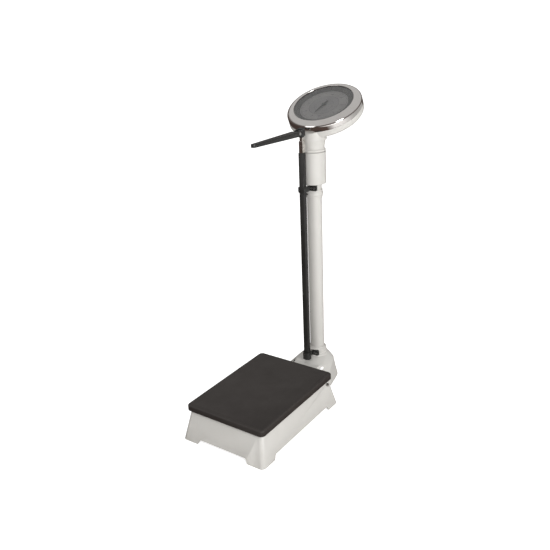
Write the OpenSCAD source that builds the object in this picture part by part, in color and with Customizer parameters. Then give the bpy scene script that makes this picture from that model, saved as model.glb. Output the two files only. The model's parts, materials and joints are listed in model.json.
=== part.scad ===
// Dial column scale for weighing people, with a telescopic height rod.
// Millimetres. +X right, -Y the side of the person being weighed, +Z up.
// Origin: centre of the footprint of the whole object, on the floor.

/* [Platform] */
// Width of the platform over its rubber cover
platform_w = 277; // [230:1:330]
// Length of the platform over its rubber cover
platform_l = 381; // [310:1:460]
// Height of the standing surface above the floor
platform_h = 113; // [108:1:140]
// Height of the cover's edge
mat_h = 18; // [14:1:22]
// Thickness of the rubber on top of the steel plate
mat_skin = 5; // [3:0.5:8]
// Corner radius of the platform
platform_corner_r = 14; // [8:1:24]
// Thickness of the steel platform plate
plate_t = 5; // [3:0.5:8]

/* [Base housing] */
// Overhang of the platform past the housing's top edge
base_overhang = 7; // [4:0.5:14]
// How much each side wall flares out from top to floor
base_flare_x = 17; // [8:1:30]
// How much each end wall flares out from top to floor
base_flare_y = 24; // [10:1:36]
// Wall thickness of the housing
base_wall = 3.5; // [2.5:0.5:6]
// Vertical gap between the housing's top and the cover
base_gap = 3; // [2:0.5:6]
// Corner radius of the housing
base_corner_r = 14; // [8:1:24]
// Height of the arches between the feet
arch_h = 16; // [8:1:20]
// Length of each foot along the walls
foot_l = 56; // [40:1:80]
// Height of the rubber foot pads
pad_h = 3; // [2:0.5:6]

/* [Levers] */
// Distance from each end of the platform in to the fulcrum shaft near it
fulcrum_inset = 25.5; // [24:0.5:40]
// Distance from a fulcrum shaft to its load shaft
load_arm = 45; // [30:1:60]
// Height of the long lever's shafts above the floor
long_lever_z = 58; // [54:1:64]
// Height of the short lever's shafts above the floor
short_lever_z = 34; // [28:1:36]
// Radius of the lever shafts
shaft_r = 4; // [3:0.25:5]
// Width of the lever bars
lever_t = 8; // [5:0.5:12]
// Depth of the long lever's bars
long_lever_h = 16; // [12:1:20]
// Depth of the short lever's bars
short_lever_h = 12; // [8:1:14]
// Downward travel of the platform at full load
platform_travel = 1.5; // [0.8:0.1:2]

/* [Column] */
// Distance from the platform's rear edge back to the column's axis
column_gap = 136.5; // [128:0.5:170]
// Outer radius of the column tube
column_r = 23.5; // [20:0.1:29]
// Wall of the column tube
column_wall = 2; // [1.5:0.25:3]
// Height of the spring housing's lower end
spring_house_z = 679; // [560:1:760]
// Length of the spring housing
spring_house_l = 99; // [90:1:130]
// Outer radius of the spring housing
spring_house_r = 38; // [34:0.5:44]
// Height of the neck between spring housing and head
neck_h = 41; // [34:1:60]
// Outer radius of the main spring
spring_r = 13; // [9:0.5:15]
// Number of coils of the main spring
spring_coils = 11; // [6:1:14]

/* [Column foot] */
// Height of the casting's lower rim above the floor
foot_rim_z = 15; // [10:1:24]
// Height of the socket that holds the column
foot_top_z = 117; // [112:1:140]
// Wall of the casting
foot_wall = 4; // [3:0.5:6]

/* [Dial head] */
// Tilt of the dial towards the person, from level
dial_tilt = 26; // [15:0.1:40]
// Distance from the column's axis back to the dial's centre
dial_setback = 62; // [52:1:72]
// Gap between the top of the neck and the casing's back, square to the dial
head_gap = 8.1; // [6:0.1:14]
// Outer radius of the head casing
casing_r = 118; // [98:1:142]
// Depth of the casing behind the window
casing_depth = 51; // [48:0.1:62]
// Wall of the casing
casing_wall = 2.5; // [2:0.25:4]
// Width of the chrome bezel, from the casing's side to the window
bezel_w = 24; // [16:0.5:34]
// Angle the pointer sweeps at full load
dial_sweep = 336; // [270:1:340]
// Angle of the zero mark to the left of the dial's lowest point
zero_angle = 12; // [5:1:20]

/* [Height rod] */
// Distance of the rod's axis left of the column's axis
rod_x = 6; // [0:0.5:10]
// Distance of the rod's axis in front of the column's axis
rod_gap = 56; // [54:0.5:66]
// Side of the square outer tube
tube_w = 16; // [14:0.1:20]
// Wall of the square tubes
tube_wall = 1.2; // [1:0.1:1.5]
// Sliding clearance between the square tubes, on each side
slide_gap = 0.3; // [0.2:0.05:0.5]
// Height of the outer tube's top end above the spring housing's lower end
tube_rise = 104; // [60:1:140]
// Reach of the measuring arm from its pivot
arm_l = 226; // [160:1:260]
// Length of middle tube that stays above the outer tube
middle_show = 35; // [20:1:50]
// Length of inner rod that stays above the middle tube
inner_show = 15; // [8:1:25]

/* [Hidden] */
$fn = 64;
eps = 0.01;
hull_fn = 32;
touch = 0.05;      // radial clearance of a fixed fit
run_gap = 0.05;    // radial clearance of a shaft in its bearing
open_gap = 0.6;    // clearance of a pivot that is left open

// Heights and half sizes of the base housing
mat_z = platform_h - mat_h;
base_top_z = mat_z - base_gap;
base_rim_z = pad_h - 1.5;
base_w = platform_w - 2 * base_overhang + 2 * base_flare_x;
base_l = platform_l - 2 * base_overhang + 2 * base_flare_y;
foot_plate_t = 3;
deck_rim = 14;
lug_x = platform_w / 2 - 40.5;
lug_w = 14;
lug_l = 20;
fulcrum_reach = platform_l / 2 - fulcrum_inset;
deck_open_l = 2 * (fulcrum_reach - lug_l / 2 - 5);

// Dial head
casing_edge_r = 12;
column_reach = platform_l / 2 + column_gap;
dial_z = spring_house_z + spring_house_l + neck_h
       + (casing_depth + head_gap + dial_setback * sin(dial_tilt)) / cos(dial_tilt);
head_reach = column_reach + dial_setback + (casing_r - casing_edge_r) * cos(dial_tilt)
           + (casing_depth - casing_edge_r) * sin(dial_tilt) + casing_edge_r;

// Places along Y in the frame of the whole object
platform_y = -(head_reach - base_l_at(base_rim_z) / 2) / 2;
column_y = platform_y + column_reach;
dial_y = column_y + dial_setback;
rod_y = column_y - rod_gap;

// Lever and movement travel
lever_angle = platform_travel / load_arm;
nose_travel = lever_angle * (column_reach + fulcrum_reach);
crank_arm_in = 32;
crank_angle = nose_travel / crank_arm_in;
crank_half_deg = crank_angle * 90 / PI;
tooth_module = 0.3;
pinion_teeth = 14;
pinion_r = tooth_module * pinion_teeth / 2;
rack_travel = pinion_r * dial_sweep * PI / 180;
crank_arm_out = rack_travel / crank_angle;

// Bell crank's pivot, in the YZ plane and in the dial's own plane (s up the dial, t out of it)
crank_t = 5 - casing_depth + casing_wall;
crank_y = column_y + crank_arm_in;
crank_z = dial_z + (crank_t + (crank_y - dial_y) * sin(dial_tilt)) / cos(dial_tilt);
crank_s = (crank_y - dial_y) * cos(dial_tilt) + (crank_z - dial_z) * sin(dial_tilt);
rod_pin_z = crank_z + crank_arm_in * tan(crank_half_deg);
crank_x = 3;
crank_w = 3;
pin_r = 1.5;

// Levels inside the head, along t
window_r = casing_r - bezel_w;
glass_t = 3;
glass_top = -1.2;
glass_r = window_r + 4;
plate_top = -10.5;
plate_th = 1.5;
plate_r = casing_r - 3;
rack_th = 4;
slot_t1 = crank_t + crank_arm_out + pin_r + open_gap;
rack_t0 = slot_t1 + 1.5 - rack_th;
frame_t0 = rack_t0 - 9;
frame_th = 3;

// Height rod
tube_top_z = spring_house_z + tube_rise;
middle_w = tube_w - 2 * tube_wall - 2 * slide_gap;
inner_w = middle_w - 2 * tube_wall - 2 * slide_gap - 0.8;
socket_z = 88;
tube_floor = 4;
tube_z0 = socket_z + tube_floor;
middle_z0 = tube_z0 + 28;
middle_z1 = tube_top_z + middle_show;
inner_z0 = middle_z0 + 20;
inner_z1 = middle_z1 + inner_show;
head_h = 23;
pivot_z = inner_z1 + head_h / 2 - 1;
pivot_y = rod_y - tube_w / 2 - 13;
ear_r = 10;
ear_x = 4.5;
ear_t = 3.5;
bracket_h = 17;
bracket_t = 2;
upper_bracket_z = spring_house_z - 9.5;
lower_bracket_z = foot_top_z - 14;

// Column foot casting
boss_z = 88;
boss_r = 40;
collar_r = column_r + 7.5;
bridge_w = 90;
bridge_z0 = 26;
bridge_z1 = 76;
flange_w = 126;
flange_t = 10;
bolt_r = 4;
bolt_x = 54;
bolt_z = [bridge_z0 + 8, bridge_z1 - 8];

function base_w_at(z) = base_w - 2 * base_flare_x * z / base_top_z;
function base_l_at(z) = base_l - 2 * base_flare_y * z / base_top_z;

// Rounded rectangle centred on the origin
module rounded(w, l, r) {
    square([w - 2 * r, l], center = true);
    square([w, l - 2 * r], center = true);
    for (x = [-1, 1], y = [-1, 1]) translate([x * (w / 2 - r), y * (l / 2 - r)]) circle(r);
}

// Straight bar between two points in a plane
module bar(p, q, w) {
    d = q - p;
    translate(p) rotate(atan2(d[1], d[0])) translate([0, -w / 2]) square([norm(d), w]);
}

// A flat shape drawn in Y and Z, given a thickness along X
module yz_plate(x, t) {
    translate([x, 0, 0]) rotate([90, 0, 90]) linear_extrude(t) children();
}

module x_cylinder(x0, x1, r) {
    translate([x0, 0, 0]) rotate([0, 90, 0]) cylinder(h = x1 - x0, r = r);
}

module y_cylinder(y0, y1, r) {
    translate([0, y0, 0]) rotate([-90, 0, 0]) cylinder(h = y1 - y0, r = r);
}

module on_platform() { translate([0, platform_y, 0]) children(); }
module on_column() { translate([0, column_y, 0]) children(); }
module on_rod() { translate([-rod_x, rod_y, 0]) children(); }
module on_dial() { translate([0, dial_y, dial_z]) rotate([dial_tilt, 0, 0]) children(); }

// Block that tapers like the housing, between two heights
module base_block(z0, z1, inset) {
    on_platform() hull() for (z = [z0, z1 - eps])
        translate([0, 0, z]) linear_extrude(eps)
            rounded(base_w_at(z) - 2 * inset, base_l_at(z) - 2 * inset, base_corner_r - inset,
                    $fn = hull_fn);
}

// ---- Base ----

// Arch between two feet: wide at the floor, narrower at the top
module arch(length, depth) {
    slope = 10;
    rotate([90, 0, 0]) linear_extrude(depth, center = true)
        polygon([[-length / 2, -1], [length / 2, -1], [length / 2 - slope, arch_h],
                 [-length / 2 + slope, arch_h]]);
}

module foot_spots() {
    inset = base_wall + 15;
    for (x = [-1, 1], y = [-1, 1])
        translate([x * (base_w_at(0) / 2 - inset), y * (base_l_at(0) / 2 - inset), 0]) children();
}

module flange_bolt_spots() {
    for (x = [-bolt_x, bolt_x], z = bolt_z) translate([x, 0, z]) children();
}

module base_housing() {
    color("gainsboro") {
        difference() {
            base_block(base_rim_z, base_top_z, 0);
            base_block(base_rim_z - 1, base_top_z - base_wall, base_wall);
            on_platform() {
                translate([0, 0, base_top_z - 2 * base_wall]) linear_extrude(3 * base_wall)
                    rounded(base_w_at(base_top_z) - 2 * deck_rim, deck_open_l, 10);
                arch(base_w - 2 * foot_l, 2 * base_l);
                rotate([0, 0, 90]) arch(base_l - 2 * foot_l, 2 * base_w);
                translate([-bridge_w / 2 + foot_wall, base_l / 4, bridge_z0 + foot_wall])
                    cube([bridge_w - 2 * foot_wall, base_l / 2, bridge_z1 - bridge_z0 - 2 * foot_wall]);
                flange_bolt_spots() y_cylinder(base_l / 4, base_l, bolt_r + touch);
                lock_screw_place() x_cylinder(-20, 20, lock_r + touch);
            }
        }
        on_platform() {
            intersection() {
                foot_spots() translate([0, 0, pad_h + foot_plate_t / 2])
                    cube([38, 38, foot_plate_t], center = true);
                translate([0, -platform_y, 0]) base_block(base_rim_z, base_top_z, base_wall / 2);
            }
            for (x = [-1, 1], y = [-1, 1]) {
                z = y < 0 ? long_lever_z : short_lever_z;
                translate([x * lug_x - lug_w / 2, y * fulcrum_reach - lug_l / 2, z + bearing_h / 2])
                    cube([lug_w, lug_l, base_top_z - base_wall / 2 - z - bearing_h / 2]);
            }
        }
    }
}

module foot_pads() {
    color("dimgray") on_platform() foot_spots() cylinder(h = pad_h, r = 12);
}

bearing_h = 18;
module fulcrum_bearings() {
    color("slategray") on_platform() for (x = [-1, 1], y = [-1, 1]) {
        z = y < 0 ? long_lever_z : short_lever_z;
        translate([x * lug_x, y * fulcrum_reach, z]) difference() {
            cube([lug_w - 2, lug_l - 2, bearing_h], center = true);
            x_cylinder(-lug_w, lug_w, shaft_r + run_gap);
        }
    }
}

// ---- Column foot: a bell that flares down from the column and a bridge to the housing ----

// One level of the bell: two round corners in front and two behind
module bell_level(z, front, rear, inset) {
    for (x = [-1, 1]) {
        translate([x * front[0], front[1], z]) cylinder(h = eps, r = front[2] - inset, $fn = hull_fn);
        translate([x * rear[0], rear[1], z]) cylinder(h = eps, r = rear[2] - inset, $fn = hull_fn);
    }
}

rim_front = [62, -65, 28];
rim_rear = [34, -5, 42];
waist_z = 52;
waist_front = [54, -59, 26];
waist_rear = [26, -5, 40];
shoulder_z = 76;
shoulder_front = [34, -42, 22];
shoulder_rear = [22, -3, 38];

module bell_lower(inset, z0, z1) {
    hull() {
        bell_level(z0, rim_front, rim_rear, inset);
        bell_level(z1, waist_front, waist_rear, inset);
    }
}

module column_foot() {
    color("gainsboro") difference() {
        union() {
            on_column() {
                bell_lower(0, foot_rim_z, waist_z);
                hull() {
                    bell_level(waist_z, waist_front, waist_rear, 0);
                    bell_level(shoulder_z, shoulder_front, shoulder_rear, 0);
                }
                hull() {
                    bell_level(shoulder_z, shoulder_front, shoulder_rear, 0);
                    translate([0, 0, boss_z - eps]) cylinder(h = eps, r = boss_r, $fn = hull_fn);
                }
                translate([0, 0, boss_z - 4]) cylinder(h = 4 + 6, r = boss_r - 4);
                translate([0, 0, boss_z]) cylinder(h = foot_top_z - 5 - boss_z, r = collar_r);
                translate([0, 0, foot_top_z - 6]) cylinder(h = 6, r = column_r + 3.5);
            }
            translate([-bridge_w / 2, column_y - 60, bridge_z0])
                mirror([0, 1, 0]) cube([bridge_w, 120, bridge_z1 - bridge_z0]);
            translate([-flange_w / 2, platform_y + base_l_at(bridge_z1) / 2, bridge_z0 - 3])
                cube([flange_w, flange_t + (base_l_at(bridge_z0) - base_l_at(bridge_z1)) / 2,
                      bridge_z1 - bridge_z0 + 6]);
        }
        base_block(base_rim_z, base_top_z, 0);
        on_column() {
            bell_lower(foot_wall, foot_rim_z - 1, waist_z);
            hull() {
                bell_level(waist_z - eps, waist_front, waist_rear, foot_wall);
                bell_level(shoulder_z - 2, shoulder_front, shoulder_rear, foot_wall);
            }
            translate([0, 0, shoulder_z - 8]) cylinder(h = foot_top_z, r = column_r + touch);
        }
        on_platform() {
            translate([-bridge_w / 2 + foot_wall, base_l / 4, bridge_z0 + foot_wall])
                cube([bridge_w - 2 * foot_wall, base_l / 4 + 60, bridge_z1 - bridge_z0 - 2 * foot_wall]);
            flange_bolt_spots() y_cylinder(base_l / 4, base_l, bolt_r + touch);
        }
        bracket_screw_holes();
    }
}

module foot_bolts() {
    outside = base_l_at(bridge_z0) / 2 + flange_t;
    color("silver") on_platform() for (z = bolt_z) {
        inside = base_l_at(z) / 2 - base_wall - 2.5;
        for (x = [-bolt_x, bolt_x]) translate([x, 0, z]) {
            y_cylinder(inside - 8, outside + 2, bolt_r);
            for (y = [inside - 6, outside]) translate([0, y, 0]) rotate([-90, 0, 0])
                cylinder(h = 6, r = 7, $fn = 6);
        }
    }
}

// ---- Column ----
column_z0 = shoulder_z - 4;
column_z1 = spring_house_z + 21;

module ring(r0, r1, z0, z1) {
    translate([0, 0, z0]) difference() {
        cylinder(h = z1 - z0, r = r1);
        translate([0, 0, -1]) cylinder(h = z1 - z0 + 2, r = r0);
    }
}

module column_tube() {
    color("gainsboro") difference() {
        on_column() ring(column_r - column_wall, column_r, column_z0, column_z1);
        bracket_screw_holes();
        collar_screw_place() y_cylinder(-20, 20, 2 + touch);
    }
}

// Turned ring below the spring housing, round in section
collar_z = spring_house_z - 43;
collar_h = 24;
module column_collar() {
    r0 = column_r + touch;
    color("gainsboro") difference() {
        on_column() rotate_extrude() translate([r0, collar_z]) {
            square([2.5, collar_h]);
            translate([0, collar_h / 2]) intersection() {
                translate([4.5 - collar_h / 2, 0]) circle(collar_h / 2);
                translate([0, -collar_h / 2]) square([collar_h, collar_h]);
            }
        }
        collar_screw_place() y_cylinder(-20, 20, 2 + touch);
    }
}

module collar_screw_place() {
    on_column() rotate([0, 0, -20]) translate([0, -column_r - 2, collar_z + collar_h / 2]) children();
}

module collar_screw() {
    color("dimgray") collar_screw_place() {
        y_cylinder(-4, 4, 2);
        y_cylinder(-5.5, -3.5, 3.4);
    }
}

module spring_housing() {
    floor_t = 3;
    lip = 3;
    color("gainsboro") on_column() translate([0, 0, spring_house_z]) difference() {
        rotate_extrude() {
            translate([0, lip]) square([spring_house_r, spring_house_l - lip]);
            square([spring_house_r - lip, lip]);
            translate([spring_house_r - lip, lip]) circle(lip);
        }
        translate([0, 0, floor_t]) cylinder(h = spring_house_l, r = spring_house_r - 2.5);
        translate([0, 0, -1]) cylinder(h = floor_t + 2, r = column_r + touch);
    }
}

// Plate across the top of the spring housing that the main spring hangs from
hanger_z = spring_house_z + spring_house_l - 8;
hanger_t = 5;
module spring_hanger() {
    color("slategray") on_column() {
        ring(rod_r + 1, spring_house_r - 2.5 - touch, hanger_z, hanger_z + hanger_t);
        ring(rod_r + 1, spring_r - 2.5, hanger_z - 5, hanger_z);
    }
}

rod_r = 2.5;
spring_wire_r = 1.1;
spring_bottom_z = hanger_z - 84;

// Helix of round wire, swept as one closed skin
module helix(r, wire, h, turns) {
    sides = 8;
    steps = 18 * turns;
    points = [for (i = [0:steps], k = [0:sides - 1])
        let (a = 360 * turns * i / steps, b = 360 * k / sides, q = r + wire * cos(b))
        [q * cos(a), q * sin(a), h * i / steps + wire * sin(b)]];
    skin = [for (i = [0:steps - 1], k = [0:sides - 1])
        let (n = (k + 1) % sides)
        [i * sides + k, i * sides + n, (i + 1) * sides + n, (i + 1) * sides + k]];
    first = [for (k = [sides - 1:-1:0]) k];
    last = [for (k = [0:sides - 1]) steps * sides + k];
    polyhedron(points, concat([first, last], skin));
}

module main_spring() {
    color("silver") on_column() translate([0, 0, spring_bottom_z + spring_wire_r])
        helix(spring_r - spring_wire_r, spring_wire_r, hanger_z - spring_bottom_z - 2 * spring_wire_r,
              spring_coils);
}

// ---- Neck and head ----
neck_z = spring_house_z + spring_house_l;
neck_top_z = neck_z + neck_h;
neck_r = spring_house_r + 3.5;
zero_knob_z = neck_z + 20;

module neck() {
    bead = 5;
    waist = spring_house_r - 4;
    bore = spring_house_r - 8;
    color("gainsboro") difference() {
        on_column() rotate_extrude() translate([0, neck_z]) {
            translate([bore, 0]) square([waist - bore, neck_h]);
            translate([spring_house_r - bead - 0.3, bead]) circle(bead);
            translate([bore, neck_h - 4]) square([neck_r - bore, 4]);
            polygon([[bore, neck_h - 24], [waist, neck_h - 24], [neck_r - 3, neck_h - 4],
                     [bore, neck_h - 4]]);
        }
        zero_knob_place() y_cylinder(-20, 20, zero_shaft_r + run_gap);
    }
}

zero_shaft_r = 3;
module zero_knob_place() {
    on_column() translate([0, spring_house_r, zero_knob_z]) children();
}

module zero_knob() {
    color("black") zero_knob_place() {
        y_cylinder(-8, 6, zero_shaft_r);
        y_cylinder(4.5, 15, 9);
        for (a = [0:30:330]) rotate([0, a, 0]) translate([8.6, 0, 0]) y_cylinder(5.5, 14, 1.2);
    }
}

// Space inside the casing, in the dial's own frame
module casing_space() {
    translate([0, 0, casing_wall - casing_depth])
        cylinder(h = casing_depth + 10, r = casing_r - 4.5, $fn = 96);
}

bezel_skirt = 26;
module casing_outer() {
    rotate_extrude($fn = 96) {
        translate([0, casing_edge_r - casing_depth])
            square([casing_r, casing_depth - casing_edge_r - bezel_skirt]);
        translate([0, -bezel_skirt - eps])
            square([casing_r - 2.4, bezel_skirt + eps + plate_top - plate_th]);
        translate([0, -casing_depth]) square([casing_r - casing_edge_r, casing_edge_r]);
        translate([casing_r - casing_edge_r, casing_edge_r - casing_depth]) circle(casing_edge_r);
    }
}

module head_casing() {
    blend_z = neck_top_z + 20;
    color("gainsboro") difference() {
        union() {
            on_dial() casing_outer();
            on_column() {
                translate([0, 0, neck_top_z]) cylinder(h = blend_z - neck_top_z, r = neck_r - 0.6);
                translate([0, 0, blend_z]) cylinder(h = 22, r1 = neck_r - 0.6, r2 = neck_r - 12);
            }
        }
        on_dial() {
            casing_space();
            translate([0, 0, -bezel_skirt - touch]) ring(casing_r - 2.4, 2 * casing_r, 0, 2 * bezel_skirt);
        }
        on_column() translate([0, 0, neck_top_z - 1]) cylinder(h = 60, r = 22);
    }
}

// Chrome ring: skirt outside the casing, and a domed ring that rises to the window
dome_w = bezel_w - 2;
dome_r = casing_r - 0.2 - dome_w;
dome_z = -13.5;
module bezel() {
    outer = [for (a = [0:6:90]) [dome_r + dome_w * cos(a), dome_z + 14 * sin(a)]];
    inner = [for (a = [90:-6:0]) [dome_r + (dome_w - 2) * cos(a), dome_z + 12.6 * sin(a)]];
    color("lightgray") on_dial() rotate_extrude($fn = 96)
        polygon(concat([[casing_r - 2.2, -bezel_skirt], [casing_r - 0.2, -bezel_skirt]], outer,
                       [[window_r, dome_z + 14], [window_r, dome_z + 12.6]], inner));
}

module dial_glass() {
    color("lightcyan") on_dial() translate([0, 0, glass_top - glass_t])
        cylinder(h = glass_t, r = glass_r, $fn = 96);
}

module dial_plate() {
    color("silver") on_dial() difference() {
        translate([0, 0, plate_top - plate_th]) cylinder(h = plate_th, r = plate_r, $fn = 96);
        translate([0, 0, plate_top - 5]) cylinder(h = 10, r = 3);
    }
}

dial_face_r = window_r - 18;
module dial_spacer() {
    color("dimgray") on_dial() rotate_extrude($fn = 96)
        polygon([[dial_face_r, plate_top], [plate_r - 6, plate_top], [glass_r, glass_top - glass_t],
                 [window_r, glass_top - glass_t]]);
}

// ---- Movement inside the head ----
module movement_frame() {
    w = 44;
    l = 56;
    back = casing_wall - casing_depth;
    guide_x = pinion_r + 6;
    color("goldenrod") on_dial() {
        difference() {
            union() {
                translate([-w / 2, -l / 2, frame_t0]) cube([w, l, frame_th]);
                for (s = [-1, 1]) translate([guide_x, s * 18 - 6, frame_t0])
                    cube([5, 12, rack_t0 + rack_th - frame_t0]);
            }
            translate([0, 0, frame_t0 - 1]) cylinder(h = frame_th + 2, r = arbor_r + run_gap);
        }
        for (x = [-1, 1], s = [-1, 1]) translate([x * (w / 2 - 4), s * (l / 2 - 4), back])
            cylinder(h = frame_t0 - back, r = 3);
    }
}

crank_ear_gap = 1;
crank_ear_t = 2.5;
module crank_bracket() {
    back = casing_wall - casing_depth;
    color("goldenrod") on_dial() difference() {
        for (x = [crank_x - crank_ear_gap - crank_ear_t, crank_x + crank_w + crank_ear_gap])
            translate([x, crank_s - 6, back]) cube([crank_ear_t, 12, crank_t - back + 5]);
        translate([0, crank_s, crank_t]) x_cylinder(-20, 20, pin_r + touch);
    }
}

module at_crank() { translate([0, crank_y, crank_z]) children(); }

module crank_pin() {
    color("silver") at_crank()
        x_cylinder(crank_x - crank_ear_gap - crank_ear_t,
                   crank_x + crank_w + crank_ear_gap + crank_ear_t, pin_r);
}

// Lever with one arm to the pull rod and one arm to the rack, both drawn half way back from mid travel
module bell_crank() {
    in_dir = [-cos(crank_half_deg), sin(crank_half_deg)];
    out_a = 90 + dial_tilt - crank_half_deg;
    out_end = crank_arm_out * [cos(out_a), sin(out_a)];
    color("goldenrod") at_crank() {
        difference() {
            yz_plate(crank_x, crank_w) {
                circle(4.5);
                bar([0, 0], in_dir * crank_arm_in, 5);
                translate(in_dir * (crank_arm_in + 0.5)) circle(5);
                bar([0, 0], out_end, 4);
                translate(out_end) circle(3);
            }
            x_cylinder(-20, 20, pin_r + run_gap);
            translate([0, in_dir[0], in_dir[1]] * (crank_arm_in + 0.5))
                x_cylinder(-20, 20, pin_r + 2 * open_gap);
        }
        translate([0, out_end[0], out_end[1]]) x_cylinder(crank_x - 0.5, crank_x + crank_w + 3.5, pin_r);
    }
}

// Toothed bar that the crank draws along the dial and that turns the pinion
rack_x = pinion_r + 0.45;
module rack() {
    pin_s = crank_s + crank_arm_out * sin(crank_half_deg);
    prong = 2.5;
    prong_w = 1.5;
    reach = pin_r + open_gap;
    pitch = PI * tooth_module;
    fork_x = crank_x + crank_w + 0.6;
    color("goldenrod") on_dial() {
        translate([rack_x, -30, rack_t0]) cube([4.2, 30 + rack_travel + 6, rack_th]);
        for (i = [-3:ceil(rack_travel / pitch) + 3]) translate([rack_x, i * pitch, rack_t0])
            linear_extrude(rack_th) polygon([[0.1, -0.32], [0.1, 0.32], [-0.6, 0.12], [-0.6, -0.12]]);
        translate([rack_x, -32, rack_t0]) cube([fork_x + prong - rack_x, 6, rack_th]);
        difference() {
            translate([fork_x, pin_s - reach - prong_w, rack_t0 - 3])
                cube([prong, -28 - pin_s + reach + prong_w, rack_th + 3]);
            translate([fork_x - 1, pin_s - reach, slot_t1 - 50]) cube([prong + 2, 2 * reach, 50]);
            translate([fork_x - 1, pin_s + reach + prong_w, rack_t0 - 50]) cube([prong + 2, 100, 50]);
        }
    }
}

arbor_r = 1.2;
module pinion() {
    color("goldenrod") on_dial() {
        translate([0, 0, frame_t0 + 0.2]) cylinder(h = pointer_t - frame_t0 - 0.2, r = arbor_r);
        translate([0, 0, rack_t0 - 0.5]) {
            cylinder(h = rack_th + 1, r = pinion_r - 0.45);
            for (i = [0:pinion_teeth - 1]) rotate((i + 0.5) * 360 / pinion_teeth) linear_extrude(rack_th + 1)
                polygon([[pinion_r - 0.6, -0.28], [pinion_r - 0.6, 0.28], [pinion_r + 0.22, 0.1],
                         [pinion_r + 0.22, -0.1]]);
        }
    }
}

// Needle, pointing at the zero mark
pointer_t = -7.5;
pointer_l = 46;
module pointer() {
    color("black") on_dial() rotate(-90 - zero_angle) translate([0, 0, pointer_t]) linear_extrude(0.8) {
        difference() {
            union() {
                circle(7);
                polygon([[-20, -3.6], [0, -3.2], [pointer_l * 0.7, -2], [pointer_l, -0.3], [pointer_l, 0.3],
                         [pointer_l * 0.7, 2], [0, 3.2], [-20, 3.6]]);
            }
            circle(arbor_r);
        }
    }
}

module pointer_hub() {
    color("dimgray") on_dial() translate([0, 0, pointer_t + 0.8]) {
        cylinder(h = 1.6, r = 6);
        translate([0, 0, -0.8]) cylinder(h = 1, r = arbor_r);
    }
}

// ---- Pull rod ----
rod_z0 = long_lever_z - long_lever_h / 2 - 14;

module pull_rod() {
    color("silver") on_column() {
        translate([0, 0, rod_z0]) cylinder(h = rod_pin_z + 3 - rod_z0, r = rod_r);
        translate([0, 0, rod_pin_z]) x_cylinder(0, crank_x + crank_w + 0.8, pin_r);
    }
}

module rod_nut() {
    color("silver") on_column() difference() {
        translate([0, 0, rod_z0 + 3]) cylinder(h = 11 - open_gap, r = 7, $fn = 6);
        cylinder(h = 200, r = rod_r);
    }
}

module spring_seat() {
    color("slategray") on_column() {
        ring(rod_r, spring_r + 1, spring_bottom_z - 4, spring_bottom_z);
        ring(rod_r, spring_r - 2.5, spring_bottom_z, spring_bottom_z + 5);
    }
}

// ---- Platform ----
mat_fit = 0.5;
plate_w = platform_w - 10;
plate_l = platform_l - 10;
plate_z = platform_h - mat_skin - plate_t;

module platform_plate() {
    skirt = plate_z - mat_z - 0.5;
    color("gray") on_platform() {
        translate([0, 0, plate_z]) linear_extrude(plate_t) rounded(plate_w, plate_l, platform_corner_r - 5);
        translate([0, 0, plate_z - skirt]) linear_extrude(skirt) difference() {
            rounded(plate_w, plate_l, platform_corner_r - 5);
            rounded(plate_w - 6, plate_l - 6, platform_corner_r - 8);
        }
    }
}

module platform_mat() {
    edge = 4;
    color("#2b2725") on_platform() difference() {
        hull() {
            translate([0, 0, mat_z]) linear_extrude(mat_h - edge)
                rounded(platform_w, platform_l, platform_corner_r, $fn = hull_fn);
            for (a = [30, 60, 90]) translate([0, 0, mat_z + mat_h - edge + edge * sin(a) - eps])
                linear_extrude(eps) rounded(platform_w - 2 * edge * (1 - cos(a)),
                                            platform_l - 2 * edge * (1 - cos(a)),
                                            platform_corner_r - edge * (1 - cos(a)), $fn = hull_fn);
        }
        translate([0, 0, mat_z - 1]) linear_extrude(plate_z + plate_t + 1 - mat_z)
            rounded(plate_w, plate_l, platform_corner_r - 5);
    }
}

leg_x = lug_x - 5;
leg_w = 14;
leg_l = 16;
module platform_legs() {
    color("gray") on_platform() for (x = [-1, 1], y = [-1, 1]) {
        z = y < 0 ? long_lever_z : short_lever_z;
        difference() {
            translate([x * leg_x - leg_w / 2, y * (fulcrum_reach - load_arm) - leg_l / 2, z - 9])
                cube([leg_w, leg_l, plate_z - z + 9]);
            translate([0, y * (fulcrum_reach - load_arm), z]) x_cylinder(-200, 200, shaft_r + 0.35);
        }
    }
}

// ---- Levers ----
arm_x = leg_x - 10;
shaft_end = lug_x + 6;
nose_y = column_reach;

module long_lever() {
    z0 = long_lever_z - long_lever_h / 2;
    color("darkslategray") on_platform() difference() {
        translate([0, 0, z0]) linear_extrude(long_lever_h) {
            for (x = [-1, 1]) {
                bar([x * arm_x, -fulcrum_reach], [x * 3, nose_y - 12], lever_t);
                translate([x * arm_x, -fulcrum_reach]) circle(shaft_r + 3);
            }
            translate([0, nose_y]) circle(9);
            translate([-5, nose_y - 16]) square([10, 10]);
            cross = arm_x * nose_y / (nose_y + fulcrum_reach);
            translate([-cross, -8]) square([2 * cross, 16]);
        }
        translate([0, nose_y, 0]) cylinder(h = 200, r = rod_r + 1.5);
        cylinder(h = 200, r = link_r + 1.5);
        translate([-cross_clear, -9, long_lever_z + 4]) cube([2 * cross_clear, 18, 20]);
        translate([-cross_clear, -9, long_lever_z - 4 - 20]) cube([2 * cross_clear, 18, 20]);
        for (y = [-fulcrum_reach, load_arm - fulcrum_reach])
            translate([0, y, long_lever_z]) x_cylinder(-200, 200, shaft_r);
    }
}
cross_clear = arm_x / 2;
link_r = 3;

module long_lever_shafts() {
    color("silver") on_platform() for (y = [-fulcrum_reach, load_arm - fulcrum_reach])
        translate([0, y, long_lever_z]) x_cylinder(-shaft_end, shaft_end, shaft_r);
}

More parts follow.
